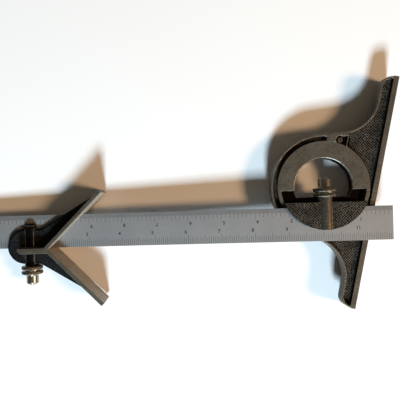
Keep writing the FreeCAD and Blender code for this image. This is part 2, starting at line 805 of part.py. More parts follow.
# The turret's lock, beside the ring in the frame: bolt, washer and knurled nut below

lock_bolt_x = turret_x + lock_x * base_cos - lock_y * base_sin
lock_bolt_y = turret_y + lock_x * base_sin + lock_y * base_cos
groove_gap = lock_place + lock_groove_depth
collar_level = lock_groove_level - (groove_gap - lock_collar_radius - seat_play * 2)
washer_top = frame_back - seat_play
washer_low = washer_top - lock_washer_thickness
nut_top = washer_low - seat_play
nut_neck_low = nut_top - lock_nut_neck
nut_low = nut_neck_low - lock_nut_height

lock_bolt = new_body("turret_lock_bolt", lock_bolt_x, lock_bolt_y)
rod(lock_bolt, "head", (ZERO, ZERO, collar_level), lock_head_radius,
    frame_top - lock_head_depth - collar_level, "+Z")
taper(lock_bolt, "upper_cone", (ZERO, ZERO, collar_level), lock_collar_radius,
      lock_head_radius, lock_collar_radius - lock_head_radius, "+Z")
taper(lock_bolt, "lower_cone", (ZERO, ZERO, collar_level), lock_collar_radius,
      lock_shank_radius, lock_collar_radius - lock_shank_radius, "-Z")
rod(lock_bolt, "shank", (ZERO, ZERO, collar_level), lock_shank_radius,
    collar_level - nut_low - lock_nut_cap - bore_play, "-Z")

washer = new_body("turret_lock_washer", lock_bolt_x, lock_bolt_y)
rod(washer, "disc", (ZERO, ZERO, washer_low), lock_washer_radius,
    lock_washer_thickness, "+Z")
rod(washer, "hole", (ZERO, ZERO, washer_low - face_play),
    lock_shank_radius + bore_play, lock_washer_thickness + face_play * 2, "+Z", cut=True)

lock_nut = new_body("turret_lock_nut", lock_bolt_x, lock_bolt_y)
rod(lock_nut, "neck", (ZERO, ZERO, nut_low), lock_neck_radius, nut_top - nut_low, "+Z")
rod(lock_nut, "knurl", (ZERO, ZERO, nut_low), lock_nut_radius, lock_nut_height, "+Z")
rod(lock_nut, "thread", (ZERO, ZERO, nut_low + lock_nut_cap),
    lock_shank_radius + turning_play, nut_top - nut_low, "+Z", cut=True)

clamp_bolt("protractor_clamp_bolt", turret_x, turret_y + blade_edge, 1, turret_seat_distance)
clamp_spring("protractor_clamp_spring", turret_x, turret_y + blade_edge, 1,
             turret_seat_distance)
clamp_nut("protractor_clamp_nut", turret_x, turret_y + hole_floor, 1)


# Check every object, then write one file for each piece

doc.recompute()
for item in doc.Objects:
    if "Invalid" in item.State or "Error" in item.State:
        raise RuntimeError("%s failed: %s" % (item.Name, item.State))
pieces = [item for item in doc.Objects if item.TypeId == "PartDesign::Body"]
whole = FreeCAD.BoundBox()
for piece in pieces:
    if piece.Shape.isNull() or not piece.Shape.isValid():
        raise RuntimeError("%s has no valid shape" % piece.Label)
    whole.add(piece.Shape.BoundBox)
    piece.Shape.exportStep("parts/%s.step" % piece.Label)
    print("%-26s %d solid(s) %9.1f mm3" % (
        piece.Label, len(piece.Shape.Solids), piece.Shape.Volume))
print("whole object %.2f x %.2f x %.2f mm, from (%.2f, %.2f, %.2f)" % (
    whole.XLength, whole.YLength, whole.ZLength, whole.XMin, whole.YMin, whole.ZMin))
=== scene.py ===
# %% [markdown]
# A combination square set lies on a pale bench: a graduated steel rule, a centre head
# whose V is split in two by the rule's lower edge, and a protractor head with a turret.
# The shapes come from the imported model, which is the fixed frame of this scene. Here
# each piece gets the surface that the real one has: ground steel, black wrinkle enamel,
# machined cast iron, knurls, and scales filled with black.

# %% Load the frame and keep its box
import json
import math

import bmesh
import bpy
import numpy as np
from mathutils import Matrix, Vector


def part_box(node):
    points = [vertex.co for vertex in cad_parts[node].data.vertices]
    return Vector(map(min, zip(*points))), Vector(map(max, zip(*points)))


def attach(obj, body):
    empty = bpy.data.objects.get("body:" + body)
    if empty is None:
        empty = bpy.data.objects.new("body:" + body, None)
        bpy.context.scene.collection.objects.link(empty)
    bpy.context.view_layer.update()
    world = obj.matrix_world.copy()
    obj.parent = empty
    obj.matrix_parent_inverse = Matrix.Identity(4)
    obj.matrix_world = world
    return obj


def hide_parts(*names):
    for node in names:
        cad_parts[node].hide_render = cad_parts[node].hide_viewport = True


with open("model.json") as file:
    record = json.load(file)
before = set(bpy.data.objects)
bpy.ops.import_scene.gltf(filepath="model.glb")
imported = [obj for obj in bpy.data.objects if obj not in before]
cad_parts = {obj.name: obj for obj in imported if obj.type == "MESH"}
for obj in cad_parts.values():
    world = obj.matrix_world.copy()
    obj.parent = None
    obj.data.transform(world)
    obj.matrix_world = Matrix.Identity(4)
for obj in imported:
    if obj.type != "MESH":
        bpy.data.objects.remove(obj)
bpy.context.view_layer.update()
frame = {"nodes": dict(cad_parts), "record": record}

MM = 0.001
INCH = 25.4 * MM
mounts = {mount["name"]: mount for mount in frame["record"]["mounts"]}

# %% [markdown]
# Every place that this scene needs is read from the frame, so that the looks follow the
# model: the rule's corners, the turret's axis, the point of the V, and the direction in
# which the protractor's base faces.

# %% Places and levels
blade_low, blade_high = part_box("blade")
frame_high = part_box("protractor_body")[1]
head_low, head_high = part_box("center_head_body")
ring_low, ring_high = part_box("turret_degree_ring")
turret_axis = (ring_low + ring_high) / 2
apex = Vector(mounts["center_head_v"]["pos_m"])
base_out = Vector(mounts["protractor_base_face"]["axis"])
base_along = Vector((-base_out.y, base_out.x, 0))
print("turret axis", tuple(round(value, 4) for value in turret_axis))

# %% [markdown]
# The camera hangs over the bench and looks almost straight down, as the photograph was
# taken. Its place and turn come from a pinhole camera fitted to the rule's numerals and
# edges. The photograph is a crop, so the lens is shifted by a tenth of the frame.

# %% Camera
CAMERA_PLACE = (-9.43 * MM, 1.20 * MM, 327.4 * MM)
CAMERA_TURN = (0.00731, -0.05133, 0.03022)
FOCAL_PIXELS = 400.0
FRAME_PIXELS = 400.0
SENSOR = 36.0
LENS_SHIFT = 0.1


def world_to_camera(turn):
    """The rotation Rx Ry Rz that takes world directions to the camera's own."""
    about_x, about_y, about_z = (Matrix.Rotation(a, 3, axis) for a, axis in zip(turn, "XYZ"))
    return about_x @ about_y @ about_z


lens = bpy.data.cameras.new("bench_camera")
lens.sensor_width = SENSOR
lens.lens = SENSOR * FOCAL_PIXELS / FRAME_PIXELS
lens.shift_x = LENS_SHIFT
lens.clip_start = 0.01
camera = bpy.data.objects.new("bench_camera", lens)
bpy.context.scene.collection.objects.link(camera)
camera.matrix_world = (Matrix.Translation(CAMERA_PLACE)
                       @ world_to_camera(CAMERA_TURN).transposed().to_4x4())
bpy.context.scene.camera = camera
print("lens", lens.lens, "mm")

# %% [markdown]
# A shader is a small graph of nodes. This hand keeps the wiring short: one call adds a
# node, sets its options and inputs, and links whatever comes from another node. Patterns
# read Object coordinates, which are metres here, so a scale of 1000 means one per
# millimetre.


# %% A hand for shader graphs
class Finish:
    """A material with a Principled shader, and calls that add nodes to its graph."""

    def __init__(self, name, **shine):
        self.material = bpy.data.materials.new(name)
        self.material.use_nodes = True
        self.tree = self.material.node_tree
        self.shader = self.tree.nodes["Principled BSDF"]
        for socket, value in shine.items():
            self.shader.inputs[socket.replace("_", " ")].default_value = value
        self.place = self.add("ShaderNodeTexCoord").outputs["Object"]

    def add(self, kind, inputs=None, **options):
        """Add a node, set its options, and set or link its inputs."""
        node = self.tree.nodes.new(kind)
        for option, value in options.items():
            setattr(node, option, value)
        for socket, value in (inputs or {}).items():
            self.feed(node.inputs[socket], value)
        return node

    def feed(self, socket, value):
        """Link a socket to an output, or set its constant."""
        if isinstance(value, bpy.types.NodeSocket):
            self.tree.links.new(value, socket)
        else:
            socket.default_value = value

    def stretched(self, scale):
        """Object coordinates times a scale for each axis."""
        return self.add("ShaderNodeMapping", {"Vector": self.place, "Scale": scale}).outputs[0]

    def noise(self, scale, detail=3.0, rough=0.5, place=None):
        """Smooth noise from 0 to 1, with a number of finer octaves."""
        inputs = {"Vector": place or self.place, "Scale": scale, "Detail": detail,
                  "Roughness": rough}
        return self.add("ShaderNodeTexNoise", inputs).outputs["Fac"]

    def cells(self, scale, scatter):
        """Distance in plan to the nearest point of a diagonal grid, in cell widths.

        Scatter says how far the points stray from the grid, from 0 to 1.
        """
        turned = self.add("ShaderNodeMapping", {"Vector": self.place, "Rotation": (0, 0, 0.8)})
        inputs = {"Vector": turned.outputs[0], "Scale": scale, "Randomness": scatter}
        return self.add("ShaderNodeTexVoronoi", inputs, voronoi_dimensions="2D").outputs["Distance"]

    def ramp(self, value, low, high, start=0.0, end=1.0):
        """A value from start to end as the input goes from low to high."""
        inputs = {"Value": value, 1: low, 2: high, 3: start, 4: end}
        return self.add("ShaderNodeMapRange", inputs).outputs[0]

    def math(self, operation, first, second):
        """One sum, product or other operation on two values."""
        return self.add("ShaderNodeMath", {0: first, 1: second}, operation=operation).outputs[0]

    def blend(self, share, first, second):
        """Mix two colours by a share."""
        inputs = {0: share, 6: rgba(first), 7: rgba(second)}
        return self.add("ShaderNodeMix", inputs, data_type="RGBA").outputs[2]

    def relief(self, height, depth, strength):
        """Tilt the surface's normals as a height of that depth in metres would."""
        inputs = {"Height": height, "Distance": depth, "Strength": strength}
        return self.add("ShaderNodeBump", inputs).outputs[0]

    def set(self, **sockets):
        """Feed the shader's sockets, such as Base_Color and Roughness."""
        for socket, value in sockets.items():
            self.feed(self.shader.inputs[socket.replace("_", " ")], value)
        return self.material


def rgba(colour):
    """A colour of three numbers gets an alpha of one, and an output passes as it is."""
    return colour if isinstance(colour, bpy.types.NodeSocket) else (*colour, 1.0)


# %% [markdown]
# The rule is satin steel. It is rough enough to spread each lamp over its whole length,
# so its tone changes only a little from end to end. Fine lines along it come from noise
# that is stretched a hundredfold along X, and a few darker specks stand for old stains.


# %% Satin steel of the rule
def satin_steel():
    """Ground steel: streaks along X, soft clouds of tone and small stains."""
    finish = Finish("satin_steel", Metallic=0.55, Specular_IOR_Level=0.3)
    streaks = finish.noise(1.0, 4.0, 0.6, finish.stretched((60, 5200, 5200)))
    clouds = finish.noise(38.0, 4.0, 0.6)
    stains = finish.ramp(finish.noise(420.0, 4.0, 0.7), 0.64, 0.74)
    tone = finish.blend(finish.ramp(clouds, 0.35, 0.65),
                        (0.240, 0.250, 0.262), (0.268, 0.276, 0.286))
    tone = finish.blend(finish.ramp(streaks, 0.35, 0.65, 0.0, 0.30), tone, (0.205, 0.208, 0.212))
    tone = finish.blend(finish.math("MULTIPLY", stains, 0.4), tone, (0.125, 0.115, 0.105))
    return finish.set(Base_Color=tone, Roughness=finish.ramp(clouds, 0.2, 0.8, 0.56, 0.62),
                      Normal=finish.relief(streaks, 0.004 * MM, 0.5))


# %% [markdown]
# The castings are dipped in a black enamel that wrinkles as it dries. The wrinkles stand
# about a millimetre and a half apart, in almost regular diagonal rows. The distance to
# the points of a slightly disordered grid gives that pattern. The round tops are painted
# paler than the creases: partly the rubbing of hands, partly a painted glint of the lamps.


# %% Black wrinkle enamel
WRINKLES_PER_METRE = 690.0


def wrinkle_enamel(name, rub_and_glint, rub_and_glint_tone, tone=(0.0020, 0.0020, 0.0022)):
    """Black enamel in round wrinkles, with tops painted paler: partly rubbing, partly a painted
    glint.
    """
    finish = Finish(name, Metallic=0.0, Specular_IOR_Level=0.10)
    cells = finish.cells(WRINKLES_PER_METRE, 0.40)
    fine = finish.noise(2600.0, 2.0)
    height = finish.math("ADD", finish.ramp(cells, 0.0, 0.70, 1.0, 0.0),
                         finish.math("MULTIPLY", fine, 0.15))
    patches = finish.ramp(finish.noise(140.0, 3.0), 0.35, 0.65, 0.35, 1.0)
    # Painted glint: the wrinkles' tops are made paler, partly for rubbing and partly in place of
    # the lamps' glints on them.
    rub_and_glint_tops = finish.math("MULTIPLY", finish.ramp(cells, 0.46, 0.12), patches)
    colour = finish.blend(finish.math("MULTIPLY", rub_and_glint_tops, rub_and_glint), tone, rub_and_glint_tone)
    return finish.set(Base_Color=colour, Roughness=finish.ramp(rub_and_glint_tops, 0.0, 1.0, 0.50, 0.38),
                      Normal=finish.relief(height, 0.22 * MM, 0.9))


def plain_enamel():
    """The same enamel where it stays smooth, on walls and in narrow channels."""
    finish = Finish("plain_enamel", Metallic=0.0, Specular_IOR_Level=0.05)
    pits = finish.noise(900.0, 4.0, 0.6)
    colour = finish.blend(finish.ramp(pits, 0.62, 0.78, 0.0, 0.4), (0.0020, 0.0020, 0.0021),
                          (0.016, 0.014, 0.011))
    return finish.set(Base_Color=colour, Roughness=finish.ramp(pits, 0.3, 0.7, 0.42, 0.56),
                      Normal=finish.relief(pits, 0.02 * MM, 0.7))


# %% [markdown]
# Working faces are ground off the enamel, down to cast iron. Iron ages to a warm, olive
# grey. The wheel leaves fine lines along the base, and the turret's face was turned, so
# there the lines run round its axis: noise on the radius and the angle draws them.


# %% Ground and turned cast iron, and worn edges
def machined_iron(name, streaks_of, tones, metal=0.45, rough=0.50):
    """Aged, ground iron; streaks_of gives the place along which its lines are stretched."""
    finish = Finish(name, Metallic=metal, Specular_IOR_Level=0.3)
    streaks = finish.noise(1.0, 4.0, 0.62, streaks_of(finish))
    clouds = finish.noise(90.0, 5.0, 0.68)
    grain = finish.noise(650.0, 5.0, 0.75)
    tone = finish.blend(finish.ramp(clouds, 0.38, 0.62), tones[0], tones[1])
    tone = finish.blend(finish.ramp(streaks, 0.35, 0.7, 0.0, 0.5), tone, tones[2])
    tone = finish.blend(finish.ramp(grain, 0.50, 0.66, 0.0, 0.8), tone, tones[3])
    return finish.set(Base_Color=tone, Roughness=finish.ramp(clouds, 0.2, 0.8, rough, rough + 0.12),
                      Normal=finish.relief(grain, 0.025 * MM, 0.7))


def worn_iron():
    """Edges that hands and the bench have rubbed bright."""
    finish = Finish("worn_iron", Metallic=0.8)
    rubbed = finish.noise(420.0, 3.0, 0.6)
    colour = finish.blend(finish.ramp(rubbed, 0.35, 0.65),
                          (0.100, 0.088, 0.070), (0.270, 0.250, 0.215))
    return finish.set(Base_Color=colour, Roughness=finish.ramp(rubbed, 0.3, 0.7, 0.46, 0.34))


def along(direction):
    """Streaks along a direction in plan: turn the coordinates to it, then stretch them."""
    angle = math.atan2(direction[1], direction[0])

    def place(finish):
        inputs = {"Vector": finish.place, "Rotation": (0, 0, -angle)}
        turned = finish.add("ShaderNodeMapping", inputs).outputs[0]
        scale = {"Vector": turned, "Scale": (90, 3600, 3600)}
        return finish.add("ShaderNodeMapping", scale).outputs[0]
    return place


def around(axis):
    """Streaks round an upright axis: the place is (radius, angle, height), stretched."""
    def place(finish):
        inputs = {"Vector": finish.place, "Location": (-axis[0], -axis[1], 0)}
        centred = finish.add("ShaderNodeMapping", inputs).outputs[0]
        split = finish.add("ShaderNodeSeparateXYZ", {0: centred}).outputs
        flat = finish.add("ShaderNodeCombineXYZ", {0: split[0], 1: split[1]}).outputs[0]
        radius = finish.add("ShaderNodeVectorMath", {0: flat}, operation="LENGTH").outputs[1]
        turn = finish.math("ARCTAN2", split[1], split[0])
        inputs = {0: finish.math("MULTIPLY", radius, 4200.0), 1: finish.math("MULTIPLY", turn, 5.0),
                  2: split[2]}
        return finish.add("ShaderNodeCombineXYZ", inputs).outputs[0]
    return place


OLIVE = ((0.078, 0.069, 0.053), (0.112, 0.100, 0.078),
         (0.054, 0.048, 0.037), (0.030, 0.026, 0.020))
BROWNED = ((0.29, 0.25, 0.20), (0.36, 0.32, 0.27), (0.22, 0.18, 0.14), (0.13, 0.10, 0.07))
base_iron = machined_iron("ground_iron", along(base_along), OLIVE)
turned_iron = machined_iron("turned_iron", around(turret_axis), OLIVE)
jaw_iron = machined_iron("jaw_iron", along((1, 0)), BROWNED, 0.15, 0.55)
strip_iron = machined_iron("strip_iron", along((1, 0)), OLIVE)
edge_iron = worn_iron()


# %% [markdown]
# The boss over the clamp bolt is cast, enamelled and rubbed back to grey brown. Turned
# steel pieces are brighter. The nuts are bronzed steel, pale on their smooth parts and
# darker on the knurled rims, darkest in the knurl's grooves. Each nut's mesh stores how
# deep a point lies in its knurl, and the shader reads that.


# %% Rough boss, turned steel, bronzed nuts, spring wire and ink
def rubbed_boss():
    """Cast texture with enamel left in its pits."""
    finish = Finish("rubbed_boss", Metallic=0.35)
    lumps = finish.noise(1300.0, 3.0, 0.6)
    colour = finish.blend(finish.ramp(lumps, 0.40, 0.60),
                          (0.016, 0.012, 0.009), (0.085, 0.066, 0.047))
    return finish.set(Base_Color=colour, Roughness=finish.ramp(lumps, 0.3, 0.7, 0.55, 0.40),
                      Normal=finish.relief(lumps, 0.12 * MM, 0.8))


def turned_steel(name, low, high, rough=0.3):
    """Bright turned steel between two tones."""
    finish = Finish(name, Metallic=1.0)
    clouds = finish.noise(600.0, 3.0, 0.6)
    return finish.set(Base_Color=finish.blend(clouds, low, high),
                      Roughness=finish.ramp(clouds, 0.2, 0.8, rough, rough + 0.12),
                      Normal=finish.relief(clouds, 0.01 * MM, 0.5))


def bronzed_knurl():
    """Bronzed steel: bright on the crests and dark in the grooves of the knurl."""
    finish = Finish("bronzed_knurl", Metallic=1.0)
    depth = finish.add("ShaderNodeAttribute", attribute_name="depth").outputs["Fac"]
    clouds = finish.noise(700.0, 3.0, 0.6)
    # Darker with the depth in the knurl, most of all in the grooves.
    knurl_darkening = finish.math("ADD", depth, finish.ramp(clouds, 0.3, 0.7, -0.12, 0.12))
    colour = finish.blend(finish.ramp(knurl_darkening, 0.05, 0.60), (0.36, 0.33, 0.28), (0.018, 0.014, 0.010))
    return finish.set(Base_Color=colour, Roughness=finish.ramp(knurl_darkening, 0.1, 0.9, 0.26, 0.6))


def scale_ink():
    """Black filling of the engraved lines, a little worn."""
    finish = Finish("scale_ink", Metallic=0.0)
    worn = finish.ramp(finish.noise(1800.0, 2.0), 0.5, 0.8)
    return finish.set(Base_Color=finish.blend(worn, (0.009, 0.009, 0.010), (0.035, 0.035, 0.037)),
                      Roughness=finish.ramp(worn, 0.0, 1.0, 0.5, 0.65))


steel = satin_steel()
# The wrinkles' pale tops are partly rubbing and partly a painted glint. On the centre head they are
# cool grey, a painted glint of the cool lamp.
wrinkled = wrinkle_enamel("wrinkle_enamel", 0.95, (0.145, 0.125, 0.098))
head_enamel = wrinkle_enamel("head_enamel", 0.60, (0.070, 0.076, 0.081), (0.0008, 0.0009, 0.0010))
enamel = plain_enamel()
boss_skin = rubbed_boss()
bolt_steel = turned_steel("bolt_steel", (0.34, 0.31, 0.27), (0.42, 0.39, 0.34))
aged_steel = turned_steel("aged_steel", (0.075, 0.062, 0.050), (0.150, 0.130, 0.108), 0.36)
ring_steel = turned_steel("ring_steel", (0.36, 0.36, 0.35), (0.44, 0.44, 0.43), 0.34)
wire_steel = turned_steel("spring_wire", (0.20, 0.20, 0.21), (0.27, 0.27, 0.28), 0.35)
knurl = bronzed_knurl()
ink = scale_ink()
print("finishes", len(bpy.data.materials))

# %% [markdown]
# Real castings and ground bars have no knife edges. A copy of a CAD node is made solid
# again by merging its loose triangles, its flat faces are joined, and a narrow bevel
# rounds what is left sharp. The thin bright lines along the arms and the rims in the
# photograph are exactly these rounded edges.


# %% Copies with eased edges
SAME_POINT = 0.002 * MM
FLAT_ANGLE = math.radians(0.6)
SHARP_ANGLE = math.radians(32)


def merged_copy(name, node):
    """A CAD node's mesh as one closed surface, with its coplanar triangles joined."""
    mesh = frame["nodes"][node].data.copy()
    mesh.name = name
    mesh.materials.clear()
    work = bmesh.new()
    work.from_mesh(mesh)
    bmesh.ops.remove_doubles(work, verts=work.verts, dist=SAME_POINT)
    bmesh.ops.dissolve_limit(work, angle_limit=FLAT_ANGLE, verts=work.verts, edges=work.edges)
    work.to_mesh(mesh)
    work.free()
    return mesh


def link(name, mesh, body, slot, *nodes):
    """Put a mesh in the scene as a piece that rides on a body and may replace nodes."""
    piece = bpy.data.objects.new(name, mesh)
    bpy.context.scene.collection.objects.link(piece)
    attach(piece, body)
    if nodes:
        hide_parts(*nodes)
    print(name, "rides on", body, "with", len(mesh.polygons), "faces")
    return piece


def bevel(piece, width, segments=2, worn=-1):
    """Round a piece's sharp edges by a width, and let its large faces rule the normals.

    Worn is the number of the finish that the rounded edges get, or -1 for none.
    """
    rounding = piece.modifiers.new("rounding", "BEVEL")
    rounding.width = width
    rounding.segments = segments
    rounding.limit_method = "ANGLE"
    rounding.angle_limit = SHARP_ANGLE
    rounding.use_clamp_overlap = False
    rounding.material = worn
    piece.data.shade_smooth()
    flatness = piece.modifiers.new("flatness", "WEIGHTED_NORMAL")
    flatness.mode = "FACE_AREA"
    flatness.keep_sharp = True


def weigh_rounding(piece, share_at):
    """Give each sharp edge the smaller share of the rounding's width at its two ends."""
    work = bmesh.new()
    work.from_mesh(piece.data)
    shares = [0.0 if edge.calc_face_angle(0.0) < SHARP_ANGLE
              else min(share_at(corner.co) for corner in edge.verts) for edge in work.edges]
    work.free()
    attribute = piece.data.attributes.new("bevel_weight_edge", "FLOAT", "EDGE")
    attribute.data.foreach_set("value", shares)
    piece.modifiers["rounding"].limit_method = "WEIGHT"
    print(piece.name, "edges with the whole width", shares.count(1.0))


def faces_of(mesh):
    """Every face's middle and outward normal, as two arrays."""
    count = len(mesh.polygons)
    middles, normals = np.empty(count * 3, np.float32), np.empty(count * 3, np.float32)
    mesh.polygons.foreach_get("center", middles)
    mesh.polygons.foreach_get("normal", normals)
    return middles.reshape(-1, 3), normals.reshape(-1, 3)


def finish_faces(mesh, finishes, choice):
    """Give a mesh its finishes, and each face the number of its own."""
    for material in finishes:
        mesh.materials.append(material)
    mesh.polygons.foreach_set("material_index", np.asarray(choice, np.int32))


def at_level(values, level, margin=0.02 * MM):
    """Where values lie at a level."""
    return np.abs(values - level) < margin


# %% [markdown]
# The rule keeps one finish. The groove for the hooked bolts is on its underside. Its
# corners are broken by a tenth of a millimetre, as a stone does.

# %% The rule
blade_mesh = merged_copy("blade_steel", "blade")
blade_mesh.materials.append(steel)
bevel(link("blade_steel", blade_mesh, "blade", "satin_blade_steel", "blade"), 0.12 * MM)

# %% [markdown]
# The centre head is one casting. Ground faces are those square to Z at its upper and
# lower level, the inner faces of the V, and the ends of its arms. The two webs
# are wrinkled, and the walls hold smooth enamel. A face's normal and middle tell which
# it is, so the finishes are chosen with whole arrays.


# %% The centre head
WEB_DROP = 6.9 * MM


def split_centre_head(mesh):
    """0 is wrinkle enamel, 1 the ground strips, 2 the V's inner faces, 3 smooth enamel."""
    middles, normals = faces_of(mesh)
    upright = np.abs(normals[:, 2]) > 0.99
    height = middles[:, 2]
    strips = upright & (at_level(height, head_high.z) | at_level(height, head_low.z))
    webs = upright & (at_level(height, head_high.z - WEB_DROP)
                      | at_level(height, head_low.z + WEB_DROP))
    side = np.sign(middles[:, 1] - apex.y)
    diagonal = math.sqrt(0.5)
    inward = (normals[:, 0] - side * normals[:, 1]) * diagonal
    from_v = ((middles[:, 0] - apex.x) - side * (middles[:, 1] - apex.y)) * diagonal
    jaws = (inward > 0.99) & at_level(from_v, 0.0)
    outward = (normals[:, 0] + side * normals[:, 1]) * diagonal
    ends = (outward > 0.99) & (middles[:, 0] > apex.x + 0.5 * (head_high.x - apex.x))
    return np.where(jaws, 2, np.where(strips | ends, 1, np.where(webs, 0, 3)))


head_mesh = merged_copy("center_head_casting", "center_head_body")
finish_faces(head_mesh, (head_enamel, strip_iron, jaw_iron, enamel, edge_iron),
             split_centre_head(head_mesh))
bevel(link("center_head_casting", head_mesh, "center_head", "black_casting",
           "center_head_body"), 0.28 * MM, worn=4)

# %% [markdown]
# The protractor's frame and turret are split the same way. The upper faces are ground,
# the recesses' floors are wrinkled, and their walls hold smooth enamel.


# %% The protractor's frame
RECESS_DROP = 3.1 * MM
RIM_INSIDE = 36 * MM


def split_frame(mesh):
    """0 is smooth enamel, 1 wrinkle enamel, 2 the ground faces and bare outer walls."""
    middles, normals = faces_of(mesh)
    up, down = normals[:, 2] > 0.99, normals[:, 2] < -0.99
    top = up & at_level(middles[:, 2], frame_high.z)
    out = normals @ np.array(base_out, np.float32) > 0.99
    base_end = np.abs(normals @ np.array(base_along, np.float32)) > 0.99
    reach = np.hypot(middles[:, 0] - turret_axis.x, middles[:, 1] - turret_axis.y)
    walls = np.abs(normals[:, 2]) < 0.01
    outer = walls & (middles[:, 2] < frame_high.z - RECESS_DROP) & (reach > RIM_INSIDE)
    choice = np.zeros(len(middles), int)
    choice[up & ~top & (middles[:, 2] > frame_high.z - RECESS_DROP)] = 1
    choice[down & (middles[:, 2] > 1 * MM)] = 1
    choice[top | out | base_end | outer | (down & at_level(middles[:, 2], 0.0))] = 2
    return choice


frame_mesh = merged_copy("protractor_casting", "protractor_body")
finish_faces(frame_mesh, (enamel, wrinkled, base_iron, edge_iron), split_frame(frame_mesh))
bevel(link("protractor_casting", frame_mesh, "protractor_frame", "machined_casting",
           "protractor_body"), 0.28 * MM, worn=3)


# %% [markdown]
# The turret's flat ring was turned. Its cover, which holds the rule down, is wrinkled, and
# the boss over the clamp's bolt is rubbed casting. Use has worn the upper edge of the
# finger hole round, so each edge gets its own share of one rounding.

# %% The turret
COVER_START = 7.5 * MM
BOSS_HALF = 5.4 * MM
BOSS_START, BOSS_END = 7.8 * MM, 12.2 * MM
BOSS_DROP = 1.4 * MM


def split_turret(mesh):
    """0 is smooth enamel, 1 wrinkle enamel, 2 turned iron, 3 the boss."""
    middles, normals = faces_of(mesh)
    height = middles[:, 2]
    below_axis = turret_axis.y - middles[:, 1]
    narrow = np.abs(middles[:, 0] - turret_axis.x) < BOSS_HALF
    level = at_level(height, frame_high.z) & (normals[:, 2] > 0.99)
    over_blade = height > blade_high.z + 0.5 * MM
    cover = over_blade & (below_axis > COVER_START)
    boss = cover & narrow & (np.abs(normals[:, 0]) > 0.001)
    boss |= (narrow & (below_axis > BOSS_START) & (below_axis < BOSS_END)
             & (height > frame_high.z - BOSS_DROP) & (height < blade_high.z + 0.5 * MM))
    choice = np.zeros(len(middles), int)
    choice[cover & (normals[:, 2] > 0.5)] = 1
    choice[level | (normals[:, 2] < -0.99)] = 2
    choice[boss] = 3
    return choice


turret_mesh = merged_copy("turret_casting", "protractor_turret")
finish_faces(turret_mesh, (enamel, wrinkled, turned_iron, boss_skin, edge_iron),
             split_turret(turret_mesh))
HOLE_RADIUS = 21.3 * MM
HOLE_ROUNDING, TURRET_ROUNDING, COVER_ROUNDING = 0.95 * MM, 0.24 * MM, 0.10 * MM


def turret_share(point):
    """The hole's upper edge is worn round, the cover's edges are crisp, others between."""
    radius = math.hypot(point.x - turret_axis.x, point.y - turret_axis.y)
    if abs(radius - HOLE_RADIUS) < 0.05 * MM and abs(point.z - frame_high.z) < 0.05 * MM:
        return 1.0
    on_cover = point.z > blade_high.z + 0.1 * MM and radius > HOLE_RADIUS
    return (COVER_ROUNDING if on_cover else TURRET_ROUNDING) / HOLE_ROUNDING


turret_piece = link("turret_casting", turret_mesh, "turret", "machined_casting",
                    "protractor_turret")
bevel(turret_piece, HOLE_ROUNDING, worn=4)
weigh_rounding(turret_piece, turret_share)

# %% [markdown]
# The rule's scales are engraved lines filled with black. Each line is a very flat box
# let into the face, and all the boxes of one edge are a single mesh: their corners are
# eight offsets added to an array of places. A line is longer at each eighth, quarter,
# half and whole inch, so that the eye can count.

# %% Flat boxes as one mesh
INLAY_PROUD = 0.006 * MM
INLAY_DEEP = 0.05 * MM
BOX_CORNERS = np.array([(x, y, z) for z in (0, 1) for y in (0, 1) for x in (0, 1)], float)
BOX_FACES = np.array([(0, 2, 3, 1), (4, 5, 7, 6), (0, 1, 5, 4),
                      (2, 6, 7, 3), (0, 4, 6, 2), (1, 3, 7, 5)])


def boxes(name, low, high, turn=None):
    """One mesh of boxes between arrays of low and high corners.

    A corner is low + share * (high - low), and turn gives each box a turn about the
    origin in plan, in radians.
    """
    corners = low[:, None, :] + BOX_CORNERS[None] * (high - low)[:, None, :]
    if turn is not None:
        cos, sin = np.cos(turn)[:, None], np.sin(turn)[:, None]
        corners[..., 0], corners[..., 1] = (corners[..., 0] * cos - corners[..., 1] * sin,
                                            corners[..., 0] * sin + corners[..., 1] * cos)
    faces = (BOX_FACES[None] + 8 * np.arange(len(low))[:, None, None]).reshape(-1, 4)
    mesh = bpy.data.meshes.new(name)
    mesh.from_pydata(corners.reshape(-1, 3), [], faces)
    mesh.materials.append(ink)
    return mesh


# %% Scales along the rule's edges
LINE_WIDTH = 0.24 * MM
EDGE_GAP = 0.25 * MM


def rule_scale(name, parts, lengths, upper, top):
    """Lines of a scale with so many parts to the inch, along one edge of one face.

    The lengths are those at whole, half, quarter and eighth inches, and at all others.
    """
    count = int(round((blade_high.x - blade_low.x) / INCH * parts)) - 1
    number = np.arange(1, count + 1)
    length = np.full(count, lengths[-1])
    for step, longer in zip((parts // 8, parts // 4, parts // 2, parts), lengths[-2::-1]):
        length[number % step == 0] = longer
    x = blade_low.x + number * INCH / parts
    edge = blade_high.y - EDGE_GAP if upper else blade_low.y + EDGE_GAP
    inner = edge - length if upper else edge + length
    face = blade_high.z if top else blade_low.z
    rise = 1 if top else -1
    z = sorted((face + rise * INLAY_PROUD, face - rise * INLAY_DEEP))
    low = np.stack([x - LINE_WIDTH / 2, np.minimum(edge, inner), np.full(count, z[0])], 1)
    high = np.stack([x + LINE_WIDTH / 2, np.maximum(edge, inner), np.full(count, z[1])], 1)
    return link(name, boxes(name, low, high), "blade", "satin_blade_steel")


COARSE_LINES = (7.0 * MM, 6.4 * MM, 5.8 * MM, 5.2 * MM, 4.6 * MM)
FINE_LINES = (7.2 * MM, 6.6 * MM, 6.0 * MM, 5.4 * MM, 3.1 * MM)
rule_scale("scale_sixteenths", 16, COARSE_LINES, upper=False, top=True)
rule_scale("scale_thirty_seconds", 32, FINE_LINES, upper=True, top=True)
rule_scale("scale_back_sixteenths", 16, COARSE_LINES, upper=False, top=False)
rule_scale("scale_back_thirty_seconds", 32, FINE_LINES, upper=True, top=False)

# %% [markdown]
# Numerals are text objects turned into meshes before they are placed. The lower row
# counts from the left end and stands upright. The upper row counts from the right end
# and is upside down, so that the rule can be read from both sides.


# %% Numerals
DIGIT_SHARE = 0.70       # a digit's height as a share of the font's size
STROKE_SWELL = 0.028     # how far each stroke is widened, as a share of its height


